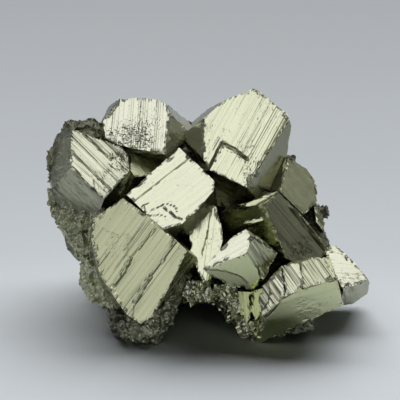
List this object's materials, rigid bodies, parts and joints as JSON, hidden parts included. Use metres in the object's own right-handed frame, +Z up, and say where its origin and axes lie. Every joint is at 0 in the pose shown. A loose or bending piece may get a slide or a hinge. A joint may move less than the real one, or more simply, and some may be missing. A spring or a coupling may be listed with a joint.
{
  "type": "pyrite specimen",
  "caption": "Free-standing cluster of striated pyrite cubes grown through one another on a granular pyrite base, for display.",
  "frame": {"origin": "centre of the footprint, on the surface that the specimen stands on", "axes": "+Z up, +X to the right along the longest extent, and the crystal faces that are displayed look to -Y"},
  "size_m": [0.0972, 0.0738, 0.0623],
  "materials": {
    "pyrite": "pale brassy metallic lustre, striated cube faces, rough granular base"
  },
  "bodies": {
    "root": {"pyrite_cluster": "pyrite"}
  },
  "joints": []
}
